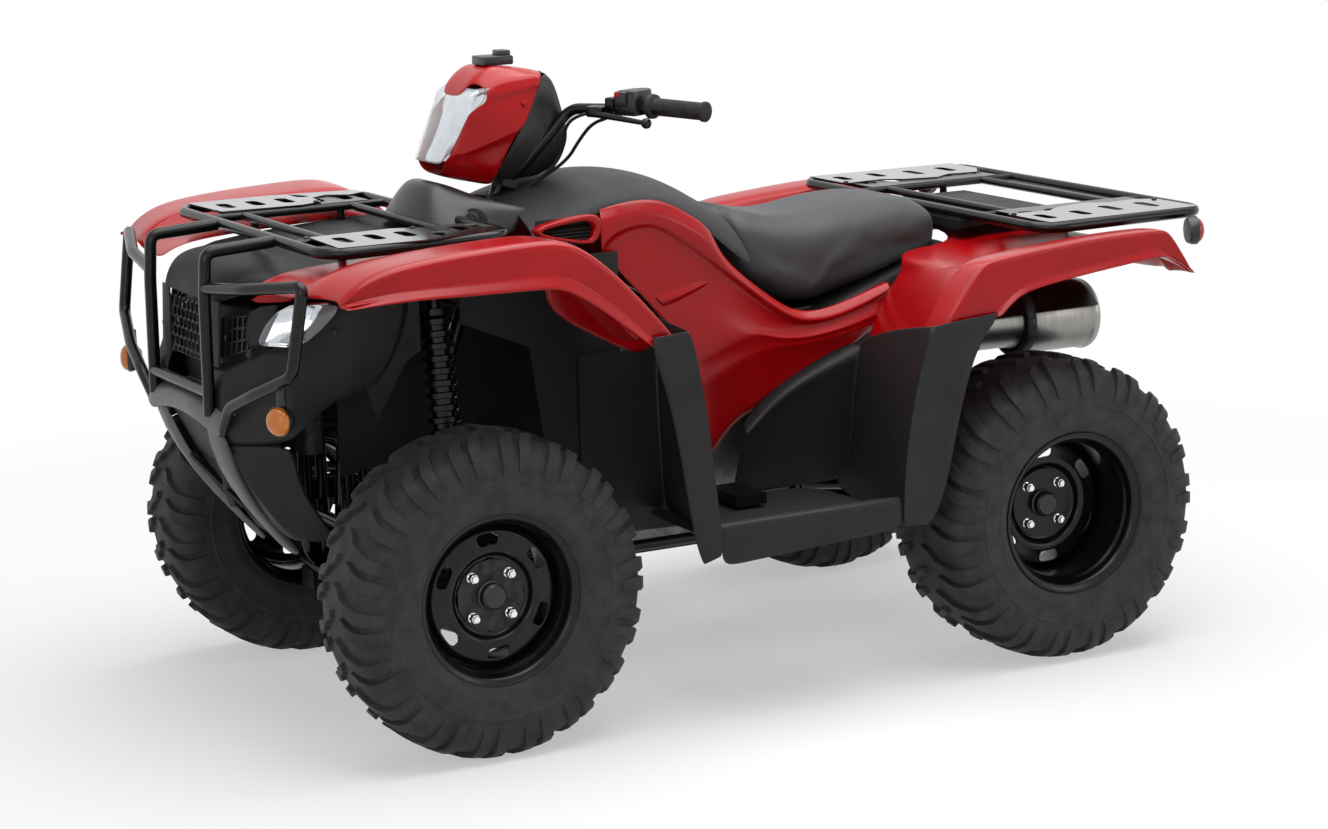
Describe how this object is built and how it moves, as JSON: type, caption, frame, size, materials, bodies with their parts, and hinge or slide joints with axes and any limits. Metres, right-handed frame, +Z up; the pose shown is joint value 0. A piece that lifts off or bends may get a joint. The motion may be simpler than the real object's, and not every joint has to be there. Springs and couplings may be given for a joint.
{
  "type": "quad bike",
  "caption": "Utility quad bike with a solid rear axle on a swing arm, double wishbones in front, tubular racks and guard, moulded fenders and footwells.",
  "frame": {"origin": "on the floor below the middle of the vehicle's length and width", "axes": "+Z up, -Y towards the front, +X towards the rider's left"},
  "size_m": [1.204, 2.144, 1.2635],
  "materials": {
    "plastic_red": "gloss",
    "plastic_black": "matt",
    "plastic_grey": "satin",
    "steel_black": "satin",
    "cast_grey": "satin",
    "cast_dark": "matt",
    "stainless": "satin",
    "seat_vinyl": "matt",
    "grip_rubber": "matt",
    "tyre_rubber": "matt",
    "lens_clear": "gloss",
    "lens_amber": "gloss",
    "lens_red": "gloss"
  },
  "bodies": {
    "chassis": {"frame": "steel_black", "skid_plate": "plastic_black", "engine": "cast_grey", "exhaust": "stainless", "radiator": "cast_dark", "front_drive": "steel_black", "front_arms": "steel_black", "front_shocks": "steel_black", "swing_arm": "steel_black", "rear_shock": "steel_black", "front_fenders": "plastic_red", "inner_guards": "plastic_black", "front_fascia": "plastic_black", "grille": "plastic_black", "front_bumper": "plastic_grey", "brush_guard": "steel_black", "headlamps": "lens_clear", "turn_signals": "lens_amber", "front_rack": "steel_black", "console": "plastic_black", "tank_cover": "plastic_black", "side_cover_left": "plastic_red", "side_cover_right": "plastic_red", "seat": "seat_vinyl", "rear_fender": "plastic_red", "rear_rack": "steel_black", "tail_lamps": "lens_red", "footwell_left": "plastic_black", "footwell_right": "plastic_black", "foot_pegs": "cast_grey", "tail_cover": "plastic_black", "front_tray": "plastic_black"},
    "steering": {"steering_stem": "steel_black", "handlebar": "steel_black", "grips": "grip_rubber", "controls": "plastic_black", "pod_cowl": "plastic_red", "pod_housing": "plastic_black", "pod_headlamp": "lens_clear"},
    "tie_rod_left": {"tie_rod_left": "steel_black"},
    "knuckle_left": {"knuckle_left": "cast_dark"},
    "wheel_front_left": {"hub_front_left": "cast_dark", "rim_front_left": "steel_black", "tyre_front_left": "tyre_rubber"},
    "tie_rod_right": {"tie_rod_right": "steel_black"},
    "knuckle_right": {"knuckle_right": "cast_dark"},
    "wheel_front_right": {"hub_front_right": "cast_dark", "rim_front_right": "steel_black", "tyre_front_right": "tyre_rubber"},
    "wheels_rear": {"rear_axle": "steel_black", "rims_rear": "steel_black", "tyres_rear": "tyre_rubber"}
  },
  "joints": [
    {"name": "handlebar_steer", "type": "hinge", "parent": "chassis", "child": "steering", "pos_m": [0, -0.6005, 0.375], "axis": [0, 0.3494, 0.937], "range_deg": [-36, 36]},
    {"name": "knuckle_left_steer", "type": "hinge", "parent": "chassis", "child": "knuckle_left", "pos_m": [0.3955, -0.6475, 0.314], "axis": [0, 0, 1], "range_deg": [-34, 34]},
    {"name": "tie_rod_left_eye", "type": "hinge", "parent": "steering", "child": "tie_rod_left", "pos_m": [0.02, -0.51246, 0.35924], "axis": [0, 0.3494, 0.937], "range_deg": [-39, 39]},
    {"name": "wheel_front_left_spin", "type": "hinge", "parent": "knuckle_left", "child": "wheel_front_left", "pos_m": [0.4625, -0.6475, 0.314], "axis": [1, 0, 0], "continuous": true},
    {"name": "knuckle_right_steer", "type": "hinge", "parent": "chassis", "child": "knuckle_right", "pos_m": [-0.3955, -0.6475, 0.314], "axis": [0, 0, 1], "range_deg": [-34, 34]},
    {"name": "tie_rod_right_eye", "type": "hinge", "parent": "steering", "child": "tie_rod_right", "pos_m": [-0.02, -0.51246, 0.35924], "axis": [0, 0.3494, 0.937], "range_deg": [-39, 39]},
    {"name": "wheel_front_right_spin", "type": "hinge", "parent": "knuckle_right", "child": "wheel_front_right", "pos_m": [-0.4625, -0.6475, 0.314], "axis": [1, 0, 0], "continuous": true},
    {"name": "rear_axle_spin", "type": "hinge", "parent": "chassis", "child": "wheels_rear", "pos_m": [0, 0.6475, 0.314], "axis": [1, 0, 0], "continuous": true}
  ],
  "couplings": [
    {"joint": "knuckle_left_steer", "follows": "handlebar_steer", "ratio": 0.91},
    {"joint": "tie_rod_left_eye", "follows": "handlebar_steer", "ratio": -1.05},
    {"joint": "knuckle_right_steer", "follows": "handlebar_steer", "ratio": 0.91},
    {"joint": "tie_rod_right_eye", "follows": "handlebar_steer", "ratio": -1.05}
  ]
}
